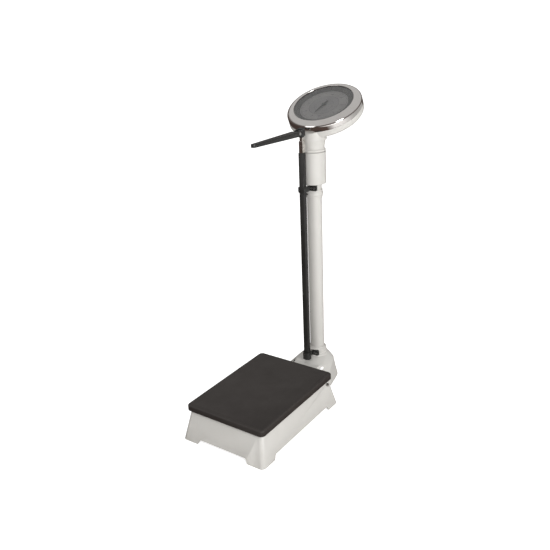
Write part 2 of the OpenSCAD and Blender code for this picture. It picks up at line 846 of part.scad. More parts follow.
module short_lever() {
    z0 = short_lever_z - short_lever_h / 2;
    color("darkslategray") on_platform() difference() {
        translate([0, 0, z0]) linear_extrude(short_lever_h) {
            for (x = [-1, 1]) {
                bar([x * arm_x, fulcrum_reach], [x * 4, 8], lever_t);
                translate([x * arm_x, fulcrum_reach]) circle(shaft_r + 3);
            }
            circle(11);
        }
        cylinder(h = 200, r = link_r + 1.5);
        for (y = [fulcrum_reach, fulcrum_reach - load_arm])
            translate([0, y, short_lever_z]) x_cylinder(-200, 200, shaft_r);
    }
}

module short_lever_shafts() {
    color("silver") on_platform() for (y = [fulcrum_reach, fulcrum_reach - load_arm])
        translate([0, y, short_lever_z]) x_cylinder(-shaft_end, shaft_end, shaft_r);
}

// Tie rod that hangs the short lever's nose from the long lever
module lever_link() {
    low = short_lever_z - short_lever_h / 2 - open_gap;
    high = long_lever_z + 4 + open_gap;
    color("silver") on_platform() {
        translate([0, 0, low - 7]) cylinder(h = high + 7 - low + 7, r = link_r);
        translate([0, 0, low - 5]) cylinder(h = 5, r = 7, $fn = 6);
        translate([0, 0, high]) cylinder(h = 5, r = 7, $fn = 6);
    }
}

// ---- Lock screw in the side of the housing ----
lock_r = 2.5;
lock_z = base_top_z - 9;
module lock_screw_place() {
    translate([base_w_at(lock_z) / 2, platform_l / 2 - 28, lock_z]) children();
}

module lock_screw() {
    color("silver") on_platform() lock_screw_place() {
        x_cylinder(-12, 2, lock_r);
        x_cylinder(1.5, 5.5, 5);
    }
}

// ---- Height rod ----
module square_tube(w, wall, z0, z1) {
    translate([0, 0, z0]) linear_extrude(z1 - z0) difference() {
        square(w, center = true);
        if (wall > 0) square(w - 2 * wall, center = true);
    }
}

module height_tube() {
    color("#1f1f1d") on_rod() square_tube(tube_w, tube_wall, tube_z0, tube_top_z);
}

module middle_tube() {
    color("silver") on_rod() square_tube(middle_w, tube_wall, middle_z0, middle_z1);
}

module inner_rod() {
    color("silver") on_rod() square_tube(inner_w, 0, inner_z0, inner_z1);
}

// Leg and tab that carry a rod holder on the front of a round post of radius r
tab_side = tube_w / 2 - rod_x;
tab_reach = tab_side + 21;
module bracket_tab(z, r) {
    front = r + 5;
    difference() {
        union() {
            translate([tab_side, -rod_gap, z - bracket_h / 2])
                cube([bracket_t, rod_gap - front + 3, bracket_h]);
            translate([tab_side, -front, z - bracket_h / 2]) cube([tab_reach - tab_side, 9, bracket_h]);
        }
        cylinder(h = 2000, r = r + touch);
    }
}

screw_x = [tab_side + 7, tab_side + 15];
module bracket_screw_spots() {
    on_column() for (x = screw_x) {
        translate([x, -column_r - 5, upper_bracket_z]) children();
        translate([x, -collar_r - 5, lower_bracket_z]) children();
    }
}

module bracket_screw_holes() {
    bracket_screw_spots() y_cylinder(-10, 12.5, 2 + touch);
}

module upper_bracket() {
    clip_w = tube_w + 2 * bracket_t;
    color("#1f1f1d") difference() {
        union() {
            on_column() bracket_tab(upper_bracket_z, column_r);
            on_rod() {
                translate([0, 0, upper_bracket_z - bracket_h / 2]) linear_extrude(bracket_h)
                    square(clip_w, center = true);
                translate([-clip_w / 2 - 5, -4, upper_bracket_z - 7]) cube([6, 8, 14]);
            }
        }
        on_rod() translate([0, 0, 1]) linear_extrude(2000) square(tube_w, center = true);
        bracket_screw_holes();
    }
}

// Cup that the outer tube stands in
module lower_bracket() {
    cup_r = tube_w / 2 + 6;
    color("#1f1f1d") difference() {
        union() {
            on_column() bracket_tab(lower_bracket_z, collar_r);
            on_rod() translate([0, 0, socket_z])
                cylinder(h = lower_bracket_z + bracket_h / 2 - socket_z, r = cup_r);
        }
        on_rod() translate([0, 0, tube_z0]) linear_extrude(2000) square(tube_w, center = true);
        bracket_screw_holes();
    }
}

module bracket_screws() {
    color("silver") bracket_screw_spots() {
        y_cylinder(-1, 12, 2);
        y_cylinder(-3, -0.05, 3.6);
    }
}

// Fork on top of the inner rod that the measuring arm folds in
module rod_head() {
    x1 = ear_x + ear_t;
    color("#1f1f1d") difference() {
        union() {
            on_rod() translate([-x1, -tube_w / 2 - 2, inner_z1]) cube([2 * x1, tube_w + 2, head_h]);
            for (x = [-rod_x - x1, -rod_x + ear_x]) yz_plate(x, ear_t) {
                translate([pivot_y, pivot_z]) circle(ear_r);
                translate([pivot_y, pivot_z - ear_r]) square([rod_y - pivot_y, 2 * ear_r]);
            }
            on_rod() translate([0, 0, inner_z1 - 4]) linear_extrude(5) difference() {
                square(inner_w + 3, center = true);
                square(inner_w, center = true);
            }
        }
        translate([0, pivot_y, pivot_z]) x_cylinder(-100, 100, arm_pin_r + run_gap);
    }
}

arm_pin_r = 2.5;
module arm_pin() {
    color("silver") translate([-rod_x, pivot_y, pivot_z]) {
        x_cylinder(-ear_x - ear_t - 1, ear_x + ear_t + 1, arm_pin_r);
        for (x = [-ear_x - ear_t - 2, ear_x + ear_t + 0.05]) translate([x, 0, 0]) x_cylinder(0, 1.95, 4.5);
    }
}

// Tapered blade with a round end, and the tongue that its pin goes through
arm_root_w = 24;
arm_tip_w = 15;
arm_root_t = 15;
arm_tip_t = 9;
module measuring_arm() {
    blade_y = pivot_y - ear_r - 2.5;
    tip_y = pivot_y - arm_l + arm_tip_w / 2;
    color("#1f1f1d") difference() {
        union() {
            hull() {
                translate([-rod_x - arm_root_w / 2, blade_y - 1, pivot_z - arm_root_t / 2])
                    cube([arm_root_w, 1, arm_root_t]);
                translate([-rod_x, tip_y, pivot_z + arm_root_t / 2 - arm_tip_t])
                    cylinder(h = arm_tip_t, r = arm_tip_w / 2, $fn = hull_fn);
            }
            yz_plate(-rod_x - ear_x + 0.4, 2 * (ear_x - 0.4)) {
                translate([pivot_y, pivot_z]) circle(6);
                translate([blade_y - 2, pivot_z - 6]) square([pivot_y - blade_y + 2, 12]);
            }
        }
        translate([0, pivot_y, pivot_z]) x_cylinder(-100, 100, arm_pin_r + run_gap);
    }
}

base_housing();
foot_pads();
fulcrum_bearings();
column_foot();
foot_bolts();
column_tube();
column_collar();
collar_screw();
spring_housing();
spring_hanger();
main_spring();
neck();
head_casing();
bezel();
dial_glass();
dial_plate();
dial_spacer();
movement_frame();
crank_bracket();
crank_pin();
bell_crank();
rack();
pinion();
pointer();
pointer_hub();
pull_rod();
rod_nut();
spring_seat();
platform_plate();
platform_mat();
platform_legs();
long_lever();
long_lever_shafts();
short_lever();
short_lever_shafts();
lever_link();
height_tube();
upper_bracket();
lower_bracket();
bracket_screws();
middle_tube();
inner_rod();
rod_head();
arm_pin();
measuring_arm();
lock_screw();
zero_knob();
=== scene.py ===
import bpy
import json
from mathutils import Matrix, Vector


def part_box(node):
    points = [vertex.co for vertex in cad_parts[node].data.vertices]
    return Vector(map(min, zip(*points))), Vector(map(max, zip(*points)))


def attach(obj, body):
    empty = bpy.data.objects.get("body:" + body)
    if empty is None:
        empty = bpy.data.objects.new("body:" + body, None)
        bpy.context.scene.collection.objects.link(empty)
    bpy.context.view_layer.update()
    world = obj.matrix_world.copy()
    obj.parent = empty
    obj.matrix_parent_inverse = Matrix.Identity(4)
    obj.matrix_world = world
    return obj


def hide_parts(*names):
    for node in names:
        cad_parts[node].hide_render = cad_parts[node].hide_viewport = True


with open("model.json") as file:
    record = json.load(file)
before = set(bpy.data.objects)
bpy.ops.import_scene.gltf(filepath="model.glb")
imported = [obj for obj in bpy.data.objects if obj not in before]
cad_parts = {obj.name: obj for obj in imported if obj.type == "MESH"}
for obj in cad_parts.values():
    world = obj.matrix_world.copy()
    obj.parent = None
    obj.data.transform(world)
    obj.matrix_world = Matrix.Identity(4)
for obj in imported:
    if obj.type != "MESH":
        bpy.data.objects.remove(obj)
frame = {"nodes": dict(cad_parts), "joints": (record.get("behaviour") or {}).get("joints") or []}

"""Visual model of a dial column scale with a telescopic height rod.

Lengths are in metres in the frame of the moving model: +Z up, -Y towards the person on the platform.
"""

import json
import logging
import math
from dataclasses import dataclass, field
from enum import Enum

import bpy
from mathutils import Matrix, Vector

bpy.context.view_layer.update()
LOG = logging.getLogger("column_scale")
Colour = tuple[float, float, float]
Point = tuple[float, float, float]

WELD = 0.000002  # corners of a frame node closer than this are one
LEVEL = 0.00001  # what lies within this of a height lies on it
FLAT = 0.99      # least upright part of a level face's normal
DIRT: Colour = (0.16, 0.13, 0.10)
STROKE: Colour = (0.02, 0.02, 0.02)
PRINT: Colour = (0.015, 0.015, 0.02)


# ---------------------------------------------------------------- helpers for modelling

def node_box(name: str) -> tuple[Vector, Vector]:
    """Returns the lowest and highest corner of a frame node as vectors."""
    low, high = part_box(name)
    return Vector(low), Vector(high)


def joint(name: str) -> dict:
    """Finds a joint of the moving model by name.

    Args:
        name: The joint's name.

    Returns:
        The joint as the record states it.
    """
    return next(j for j in frame["joints"] if j["name"] == name)


def leave_selection() -> None:
    """Goes back to object mode with nothing selected."""
    if bpy.context.object and bpy.context.object.mode != "OBJECT":
        bpy.ops.object.mode_set(mode="OBJECT")
    bpy.ops.object.select_all(action="DESELECT")


def only(obj: bpy.types.Object) -> None:
    """Selects one object and makes it active."""
    leave_selection()
    obj.select_set(True)
    bpy.context.view_layer.objects.active = obj


def edit_whole(obj: bpy.types.Object) -> None:
    """Goes to edit mode with the whole of an object selected."""
    only(obj)
    bpy.ops.object.mode_set(mode="EDIT")
    bpy.ops.mesh.select_all(action="SELECT")


def edit_select(obj: bpy.types.Object, mode: str, test) -> None:
    """Goes to edit mode with those edges or faces selected that pass a test.

    Args:
        obj: The mesh object.
        mode: "EDGE" or "FACE".
        test: Called with an edge's two ends, or with a face's centre and normal; true selects it.
    """
    only(obj)
    bpy.ops.object.mode_set(mode="EDIT")
    bpy.ops.mesh.select_mode(type=mode)
    bpy.ops.mesh.select_all(action="DESELECT")
    bpy.ops.object.mode_set(mode="OBJECT")
    mesh = obj.data
    if mode == "EDGE":
        for edge in mesh.edges:
            edge.select = bool(test(*(mesh.vertices[i].co for i in edge.vertices)))
    else:
        for face in mesh.polygons:
            face.select = bool(test(face.center, face.normal))
    bpy.ops.object.mode_set(mode="EDIT")


def welded_copy(node: str, name: str) -> bpy.types.Object:
    """Copies a frame node without its material and joins the corners of its triangles.

    Args:
        node: The frame node.
        name: The copy's name.

    Returns:
        The copy, in edit mode with the whole of it selected.
    """
    copy = bpy.data.objects.new(name, frame["nodes"][node].data.copy())
    bpy.context.scene.collection.objects.link(copy)
    copy.data.materials.clear()
    edit_whole(copy)
    bpy.ops.mesh.remove_doubles(threshold=WELD)
    return copy


def settle(obj: bpy.types.Object, name: str, angle: float = 35.0) -> bpy.types.Object:
    """Bakes an object's place into its mesh, names it and smooths its curved faces.

    Args:
        obj: The mesh object.
        name: The piece's name.
        angle: Edges sharper than this many degrees stay crisp.

    Returns:
        The same object.
    """
    only(obj)
    bpy.ops.object.transform_apply(location=True, rotation=True, scale=True)
    bpy.ops.object.shade_smooth_by_angle(angle=math.radians(angle))
    obj.name = name
    obj.data.name = name
    return obj


def apply_modifier(obj: bpy.types.Object, kind: str, **settings) -> None:
    """Adds one modifier with its settings and applies it.

    Args:
        obj: The mesh object.
        kind: The modifier's type.
        settings: Attribute values of the modifier.
    """
    only(obj)
    modifier = obj.modifiers.new(kind.title(), kind)
    for key, value in settings.items():
        setattr(modifier, key, value)
    bpy.ops.object.modifier_apply(modifier=modifier.name)


def block(size: Point, centre: Point) -> bpy.types.Object:
    """Adds a box primitive of a given size, with its place already in its mesh."""
    leave_selection()
    bpy.ops.mesh.primitive_cube_add(size=1.0, location=centre, scale=size)
    obj = bpy.context.object
    bpy.ops.object.transform_apply(location=True, rotation=True, scale=True)
    return obj


def round_edges(obj: bpy.types.Object, test, radius: float, segments: int) -> None:
    """Bevels the edges that pass a test.

    Args:
        obj: The mesh object.
        test: Called with an edge's two end points.
        radius: Width of the bevel.
        segments: Steps across the bevel.
    """
    edit_select(obj, "EDGE", test)
    bpy.ops.mesh.bevel(offset=radius, offset_type="OFFSET", segments=segments, profile=0.5,
                       affect="EDGES")
    bpy.ops.object.mode_set(mode="OBJECT")


def turned(profile: list[tuple[float, float]], steps: int, closed: bool) -> bpy.types.Object:
    """Turns a profile of (radius, height) points round the Z axis.

    Args:
        profile: The points, in order.
        steps: Number of steps round the circle.
        closed: Whether the last point joins the first.

    Returns:
        The turned object, with outward faces.
    """
    leave_selection()
    bpy.ops.mesh.primitive_plane_add(size=0.001, location=(0, 0, 0))
    obj = bpy.context.object
    bpy.ops.object.mode_set(mode="EDIT")
    bpy.ops.mesh.select_mode(type="VERT")
    bpy.ops.mesh.select_all(action="SELECT")
    bpy.ops.mesh.merge(type="CENTER")
    bpy.ops.transform.translate(value=(profile[0][0], 0, profile[0][1]))
    for (r0, z0), (r1, z1) in zip(profile, profile[1:]):
        bpy.ops.mesh.extrude_region_move(TRANSFORM_OT_translate={"value": (r1 - r0, 0, z1 - z0)})
    if closed:
        bpy.ops.object.mode_set(mode="OBJECT")
        last = len(obj.data.vertices) - 1
        for v in obj.data.vertices:
            v.select = v.index in (0, last)
        bpy.ops.object.mode_set(mode="EDIT")
        bpy.ops.mesh.select_mode(type="VERT")
        bpy.ops.mesh.edge_face_add()
    bpy.ops.mesh.select_all(action="SELECT")
    bpy.ops.mesh.spin(steps=steps, angle=math.tau, center=(0, 0, 0), axis=(0, 0, 1))
    bpy.ops.mesh.select_all(action="SELECT")
    bpy.ops.mesh.remove_doubles(threshold=1e-6)
    bpy.ops.mesh.normals_make_consistent(inside=False)
    bpy.ops.object.mode_set(mode="OBJECT")
    return obj


def arc(centre: tuple[float, float], radius: float, start: float, end: float, steps: int) -> list:
    """Points of an arc in a profile.

    Args:
        centre: Radius and height of the arc's centre.
        radius: The arc's own radius.
        start: First angle in degrees, from outward to up.
        end: Last angle in degrees.
        steps: Number of steps.

    Returns:
        The points as (radius, height).
    """
    angles = [math.radians(start + (end - start) * i / steps) for i in range(steps + 1)]
    return [(centre[0] + radius * math.cos(a), centre[1] + radius * math.sin(a)) for a in angles]


# ---------------------------------------------------------------- shared surface effects

class Effect(Enum):
    """Node groups that several finishes share."""

    MOTTLE = "Mottle"
    ORANGE_PEEL = "Orange peel"
    SCUFFS = "Scuffs"
    FLOOR_GRIME = "Floor grime"
    BRUSHING = "Brushing"


def new_group(effect: Effect, inputs: dict[str, float], output: str) -> tuple:
    """Makes an empty group with float inputs and one float output.

    Args:
        effect: Which effect it is.
        inputs: Input names and their default values.
        output: Name of the output.

    Returns:
        The group's wiring, the sockets of what it is given and the socket of its result.
    """
    tree = bpy.data.node_groups.new(effect.value, "ShaderNodeTree")
    for name, value in inputs.items():
        socket = tree.interface.new_socket(name=name, in_out="INPUT", socket_type="NodeSocketFloat")
        socket.default_value = value
    tree.interface.new_socket(name=output, in_out="OUTPUT", socket_type="NodeSocketFloat")
    given = tree.nodes.new("NodeGroupInput")
    result = tree.nodes.new("NodeGroupOutput")
    return Wiring(tree), given.outputs, result.inputs[output]


class Wiring:
    """Short forms for adding and joining nodes in one tree."""

    def __init__(self, tree: bpy.types.NodeTree) -> None:
        """Keeps the tree."""
        self.tree = tree

    def add(self, kind: str, **values) -> bpy.types.Node:
        """Adds a node and sets its attributes or input sockets.

        Args:
            kind: The node's type name after "ShaderNode".
            values: Attribute values; a value for an input socket is keyed by its name with "_" for spaces.

        Returns:
            The node.
        """
        node = self.tree.nodes.new("ShaderNode" + kind)
        for key, value in values.items():
            if hasattr(node, key):
                setattr(node, key, value)
            else:
                node.inputs[key.replace("_", " ")].default_value = value
        return node

    def join(self, start, end) -> None:
        """Links an output socket to an input socket."""
        self.tree.links.new(start, end)

    def math(self, operation: str, a, b=None, clamp: bool = False):
        """Adds a math node and returns its output.

        Args:
            operation: The operation's name.
            a: First number or socket.
            b: Second number or socket.
            clamp: Whether the result is kept in 0 to 1.

        Returns:
            The output socket.
        """
        node = self.tree.nodes.new("ShaderNodeMath")
        node.operation = operation
        node.use_clamp = clamp
        for socket, value in zip(node.inputs, (a, b)):
            if value is None:
                continue
            if isinstance(value, (int, float)):
                socket.default_value = value
            else:
                self.join(value, socket)
        return node.outputs[0]

    def ramp(self, source, low: float, high: float, to_low: float, to_high: float):
        """Maps a value's range onto another, clamped, and returns the output."""
        node = self.add("MapRange", clamp=True)
        self.join(source, node.inputs["Value"])
        for name, value in (("From Min", low), ("From Max", high), ("To Min", to_low), ("To Max", to_high)):
            node.inputs[name].default_value = value
        return node.outputs["Result"]

    def noise(self, position, scale, detail: float = 3.0):
        """Adds a noise texture and returns its value output."""
        node = self.add("TexNoise", Detail=detail)
        self.join(position, node.inputs["Vector"])
        if isinstance(scale, (int, float)):
            node.inputs["Scale"].default_value = scale
        else:
            self.join(scale, node.inputs["Scale"])
        return node.outputs[0]

    def position(self):
        """Returns the object coordinates."""
        return self.add("TexCoord").outputs["Object"]

    def axes(self, source):
        """Returns the sockets of a vector's parts, by the names X, Y and Z."""
        parts = self.add("SeparateXYZ")
        self.join(source, parts.inputs[0])
        return parts.outputs

    def off_whole(self, value):
        """Returns how far a value is from the nearest whole number."""
        part = self.math("FRACT", self.math("ADD", value, 0.5))
        return self.math("ABSOLUTE", self.math("SUBTRACT", part, 0.5))

    def blend(self, mask, first, second):
        """Mixes two colours, given as sockets or as plain colours, by a mask and returns the output."""
        node = self.add("Mix", data_type="RGBA")
        self.join(mask, node.inputs[0])
        for socket, value in ((node.inputs[6], first), (node.inputs[7], second)):
            if isinstance(value, tuple):
                socket.default_value = (*value, 1.0)
            else:
                self.join(value, socket)
        return node.outputs[2]


def effect_group(effect: Effect) -> bpy.types.NodeTree:
    """Returns the group for an effect, built the first time that it is asked for.

    Args:
        effect: Which effect.

    Returns:
        The node tree.
    """
    found = bpy.data.node_groups.get(effect.value)
    if found:
        return found
    if effect is Effect.MOTTLE:
        w, given, result = new_group(effect, {"Scale": 20.0, "Contrast": 0.5}, "Mask")
        coarse = w.noise(w.position(), given["Scale"], 4.0)
        spread = w.math("MULTIPLY", w.math("SUBTRACT", coarse, 0.5), given["Contrast"])
        found = w.math("ADD", w.math("MULTIPLY", spread, 4.0), 0.5, clamp=True)
    elif effect is Effect.ORANGE_PEEL:
        w, given, result = new_group(effect, {"Scale": 400.0, "Depth": 1.0}, "Height")
        fine = w.noise(w.position(), given["Scale"], 2.0)
        broad = w.noise(w.position(), w.math("MULTIPLY", given["Scale"], 0.12), 1.0)
        both = w.math("ADD", fine, w.math("MULTIPLY", broad, 0.8))
        found = w.math("MULTIPLY", both, given["Depth"])
    elif effect is Effect.SCUFFS:
        w, given, result = new_group(effect, {"Scale": 60.0, "Amount": 0.3}, "Mask")
        stretch = w.add("Mapping", vector_type="POINT")
        stretch.inputs["Scale"].default_value = (1.0, 0.25, 3.0)
        w.join(w.position(), stretch.inputs["Vector"])
        lines = w.ramp(w.noise(stretch.outputs[0], given["Scale"], 6.0), 0.62, 0.75, 0.0, 1.0)
        patches = w.ramp(w.noise(w.position(), 9.0, 2.0), 0.5, 0.7, 0.0, 1.0)
        found = w.math("MULTIPLY", w.math("MULTIPLY", lines, patches), given["Amount"], clamp=True)
    elif effect is Effect.FLOOR_GRIME:
        w, given, result = new_group(effect, {"Top": 0.04, "Amount": 0.4}, "Mask")
        level = w.math("DIVIDE", w.axes(w.position())["Z"], given["Top"])
        low = w.math("SUBTRACT", 1.0, level, clamp=True)
        speckle = w.ramp(w.noise(w.position(), 45.0, 5.0), 0.35, 0.7, 0.2, 1.0)
        found = w.math("MULTIPLY", w.math("MULTIPLY", low, speckle), given["Amount"], clamp=True)
    else:
        w, given, result = new_group(effect, {"Scale": 900.0, "Along": 0.02}, "Height")
        parts = w.axes(w.position())
        joined = w.add("CombineXYZ")
        w.join(parts["X"], joined.inputs["X"])
        w.join(parts["Y"], joined.inputs["Y"])
        w.join(w.math("MULTIPLY", parts["Z"], given["Along"]), joined.inputs["Z"])
        found = w.noise(joined.outputs[0], given["Scale"], 3.0)
    w.join(found, result)
    return w.tree


def new_material(title: str) -> tuple:
    """Makes a material and returns it with its wiring and the inputs of its shader."""
    material = bpy.data.materials.new(title)
    material.use_nodes = True
    shader = material.node_tree.nodes["Principled BSDF"]
    return material, Wiring(material.node_tree), shader.inputs


# ---------------------------------------------------------------- finishes

@dataclass(frozen=True)
class Finish:
    """One finish: two tones that mottle into each other, a roughness range and a fine relief.

    Attributes:
        title: The material's name.
        tone: Main colour, linear.
        shade: Second colour that the first mottles into.
        rough: Lowest and highest roughness.
        metallic: 1 for bare metal.
        mottle: Scale of the colour variation.
        relief: Scale of the fine relief.
        depth: Height of the relief in metres.
        coat: Weight of a clear coat.
        effect: Which group gives the relief.
        grime: How strongly floor dirt shows near the floor.
        scuffs: How strongly scuffs show.
    """

    title: str
    tone: Colour
    shade: Colour
    rough: tuple[float, float]
    metallic: float = 0.0
    mottle: float = 14.0
    relief: float = 500.0
    depth: float = 0.00002
    coat: float = 0.0
    effect: Effect = Effect.ORANGE_PEEL
    grime: float = 0.0
    scuffs: float = 0.0

    def group(self, w: Wiring, effect: Effect, **values: float):
        """Places an effect's group in the material and returns its output.

        Args:
            w: The material's wiring.
            effect: Which effect.
            values: Values of the group's inputs.

        Returns:
            The group node's first output socket.
        """
        node = w.add("Group", node_tree=effect_group(effect))
        for name, value in values.items():
            node.inputs[name].default_value = value
        return node.outputs[0]

    def colour(self, w: Wiring):
        """Returns the socket with the finish's colour over the surface."""
        clouds = self.group(w, Effect.MOTTLE, Scale=self.mottle, Contrast=0.5)
        result = w.blend(clouds, self.tone, self.shade)
        if self.grime:
            dirt = self.group(w, Effect.FLOOR_GRIME, Top=0.05, Amount=self.grime)
            result = w.blend(dirt, result, DIRT)
        if self.scuffs:
            marks = self.group(w, Effect.SCUFFS, Scale=60.0, Amount=self.scuffs)
            result = w.blend(marks, result, tuple(0.5 * a + 0.12 for a in self.tone))
        return result

    def roughness(self, w: Wiring):
        """Returns the socket with the roughness over the surface."""
        smear = self.group(w, Effect.MOTTLE, Scale=self.mottle * 2.3, Contrast=0.7)
        return w.ramp(smear, 0.0, 1.0, *self.rough)

    def height(self, w: Wiring):
        """Returns the socket with the relief, from 0 to about 1."""
        if self.effect is Effect.BRUSHING:
            return self.group(w, Effect.BRUSHING, Scale=self.relief, Along=0.02)
        return self.group(w, Effect.ORANGE_PEEL, Scale=self.relief, Depth=1.0)

    def build(self) -> bpy.types.Material:
        """Builds the material, or returns it if it exists.

        Returns:
            The material.
        """
        found = bpy.data.materials.get(self.title)
        if found:
            return found
        material, w, shader = new_material(self.title)
        shader["Metallic"].default_value = self.metallic
        shader["Coat Weight"].default_value = self.coat
        shader["Coat Roughness"].default_value = 0.12
        w.join(self.colour(w), shader["Base Color"])
        w.join(self.roughness(w), shader["Roughness"])
        bump = w.add("Bump")
        bump.inputs["Strength"].default_value = 1.0
        bump.inputs["Distance"].default_value = self.depth
        w.join(self.height(w), bump.inputs["Height"])
        w.join(bump.outputs[0], shader["Normal"])
        return material


@dataclass(frozen=True)
class PebbledRubber(Finish):
    """Rubber with a fine leathery grain of small cells."""

    def height(self, w: Wiring):
        """Returns the pebbles' height."""
        cells = w.add("TexVoronoi", feature="SMOOTH_F1")
        cells.inputs["Scale"].default_value = self.relief
        w.join(w.position(), cells.inputs["Vector"])
        fine = w.noise(w.position(), self.relief * 2.0)
        return w.math("ADD", cells.outputs["Distance"], w.math("MULTIPLY", fine, 0.4))


@dataclass(frozen=True)
class GraduatedMetal(Finish):
    """Plated tube with a short dark stroke at each whole centimetre of height.

    Attributes:
        per_metre: Strokes to the metre.
        stroke: Half of a stroke's height, as a part of the step.
        plain: Where the strokes end, towards -X.
    """

    per_metre: float = 100.0
    stroke: float = 0.03
    plain: float = -0.0055

    def colour(self, w: Wiring):
        """Returns the plating's colour with the strokes on it."""
        base = super().colour(w)
        parts = w.axes(w.position())
        steps = w.math("MULTIPLY", parts["Z"], self.per_metre)
        short = w.math("LESS_THAN", w.off_whole(steps), self.stroke)
        side = w.math("GREATER_THAN", parts["X"], self.plain)
        return w.blend(w.math("MULTIPLY", short, side), base, STROKE)


@dataclass(frozen=True)
class DialPrint(Finish):
    """Brushed silver dial with printed rings and strokes.

    Attributes:
        centre: The dial's centre.
        tilt: The dial's tilt, in radians.
        zero: Angle of the zero stroke, in degrees from the dial's right-hand side.
        step: Angle between two strokes, in degrees.
        count: Number of steps.
        ring: Radius of the strokes' outer end.
        disc: Radius of the darker disc in the middle.
        eye: Radius of the innermost ring.
        disc_tone: Colour of the disc.
        disc_share: How much of that colour shows.
        strokes: Every how many steps each kind of stroke stands, its length and half its width.
        fine: Half the width of the outer and innermost rings.
        bold: Half the width of the disc's ring.
    """

    centre: Point = (0.0, 0.0, 0.0)
    tilt: float = 0.0
    zero: float = -102.0
    step: float = 2.1
    count: int = 160
    ring: float = 0.0725
    disc: float = 0.047
    eye: float = 0.030
    disc_tone: Colour = (0.20, 0.20, 0.21)
    disc_share: float = 0.35
    strokes: tuple = ((1, 0.0045, 0.00013), (5, 0.0065, 0.0002), (10, 0.009, 0.00035))
    fine: float = 0.00025
    bold: float = 0.0004

    def polar(self, w: Wiring):
        """Returns sockets with the radius and the clockwise angle from zero in steps."""
        turn = Matrix.Rotation(-self.tilt, 3, "X")
        place = w.add("Mapping", vector_type="POINT")
        place.inputs["Location"].default_value = -(turn @ Vector(self.centre))
        place.inputs["Rotation"].default_value = (-self.tilt, 0.0, 0.0)
        w.join(w.position(), place.inputs["Vector"])
        parts = w.axes(place.outputs[0])
        x, y = parts["X"], parts["Y"]
        radius = w.math("SQRT", w.math("ADD", w.math("MULTIPLY", x, x), w.math("MULTIPLY", y, y)))
        angle = w.math("ARCTAN2", y, x)
        turned_by = w.math("SUBTRACT", math.radians(self.zero), angle)
        wrapped = w.math("FLOORED_MODULO", turned_by, math.tau)
        return radius, w.math("DIVIDE", wrapped, math.radians(self.step))

    def colour(self, w: Wiring):
        """Returns silver with dark strokes and rings."""
        radius, steps = self.polar(w)
        marks = None
        for every, length, width in self.strokes:
            off = w.off_whole(w.math("DIVIDE", steps, float(every)))
            across = w.math("MULTIPLY", w.math("MULTIPLY", off, radius), math.radians(self.step) * every)
            stroke = w.math("MULTIPLY", w.math("LESS_THAN", across, width),
                            w.math("GREATER_THAN", radius, self.ring - length))
            marks = stroke if marks is None else w.math("MAXIMUM", marks, stroke)
        marks = w.math("MULTIPLY", marks, w.math("LESS_THAN", radius, self.ring))
        # past the last stroke the scale is blank
        marks = w.math("MULTIPLY", marks, w.math("LESS_THAN", steps, self.count + 0.3))
        for r, width in ((self.ring, self.fine), (self.disc, self.bold), (self.eye, self.fine)):
            off = w.math("ABSOLUTE", w.math("SUBTRACT", radius, r))
            marks = w.math("MAXIMUM", marks, w.math("LESS_THAN", off, width))
        inside = w.math("MULTIPLY", w.math("LESS_THAN", radius, self.disc), self.disc_share)
        base = w.blend(inside, super().colour(w), self.disc_tone)
        return w.blend(marks, base, PRINT)


@dataclass(frozen=True)
class ClearGlass:
    """Clear window glass.

    Attributes:
        title: The material's name.
        tone: Main tint.
        shade: Second tint that the first mottles into.
        smear: Highest roughness of the faint smears.
    """

    title: str = "window glass"
    tone: Colour = (0.985, 0.985, 0.98)
    shade: Colour = (0.97, 0.97, 0.965)
    smear: float = 0.03

    def build(self) -> bpy.types.Material:
        """Builds the glass, with faint smears in its roughness."""
        found = bpy.data.materials.get(self.title)
        if found:
            return found
        material, w, shader = new_material(self.title)
        shader["Transmission Weight"].default_value = 1.0
        shader["IOR"].default_value = 1.45
        clouds = w.add("Group", node_tree=effect_group(Effect.MOTTLE))
        clouds.inputs["Scale"].default_value = 30.0
        w.join(w.blend(clouds.outputs[0], self.tone, self.shade), shader["Base Color"])
        w.join(w.ramp(clouds.outputs[0], 0.0, 1.0, 0.0, self.smear), shader["Roughness"])
        return material


ENAMEL = Finish("pale grey enamel", (0.62, 0.607, 0.578), (0.58, 0.567, 0.538), (0.32, 0.44),
                relief=420.0, depth=0.00004, coat=0.12, grime=0.15, scuffs=0.04)
BLACK_ENAMEL = Finish("black enamel", (0.012, 0.012, 0.0115), (0.02, 0.0195, 0.018), (0.35, 0.55),
                      relief=600.0, depth=0.00003, scuffs=0.15)
COVER_RUBBER = PebbledRubber("cover rubber", (0.024, 0.019, 0.0165), (0.031, 0.0255, 0.0225), (0.5, 0.68),
                             mottle=7.0, relief=650.0, depth=0.00012, scuffs=0.12)
PAD_RUBBER = PebbledRubber("pad rubber", (0.025, 0.024, 0.022), (0.045, 0.042, 0.038), (0.7, 0.9),
                           relief=500.0, depth=0.00008, grime=0.5)
CHROME = Finish("bright chrome", (0.74, 0.71, 0.69), (0.70, 0.67, 0.65), (0.05, 0.12), metallic=1.0,
                mottle=30.0, relief=120.0, depth=0.000008)
STEEL = Finish("zinc-plated steel", (0.52, 0.52, 0.50), (0.40, 0.40, 0.39), (0.25, 0.45), metallic=1.0,
               mottle=60.0, relief=900.0, depth=0.00002, effect=Effect.BRUSHING)
BRASS = Finish("machined brass", (0.66, 0.46, 0.18), (0.52, 0.35, 0.13), (0.22, 0.4), metallic=1.0,
               mottle=80.0, relief=1200.0, depth=0.00001, effect=Effect.BRUSHING)
CAST = Finish("lacquered casting", (0.045, 0.05, 0.052), (0.075, 0.08, 0.08), (0.45, 0.7),
              mottle=40.0, relief=260.0, depth=0.00025)
MOULDED = Finish("black moulded plastic", (0.010, 0.010, 0.010), (0.018, 0.018, 0.017), (0.35, 0.55),
                 relief=900.0, depth=0.00003, scuffs=0.15)
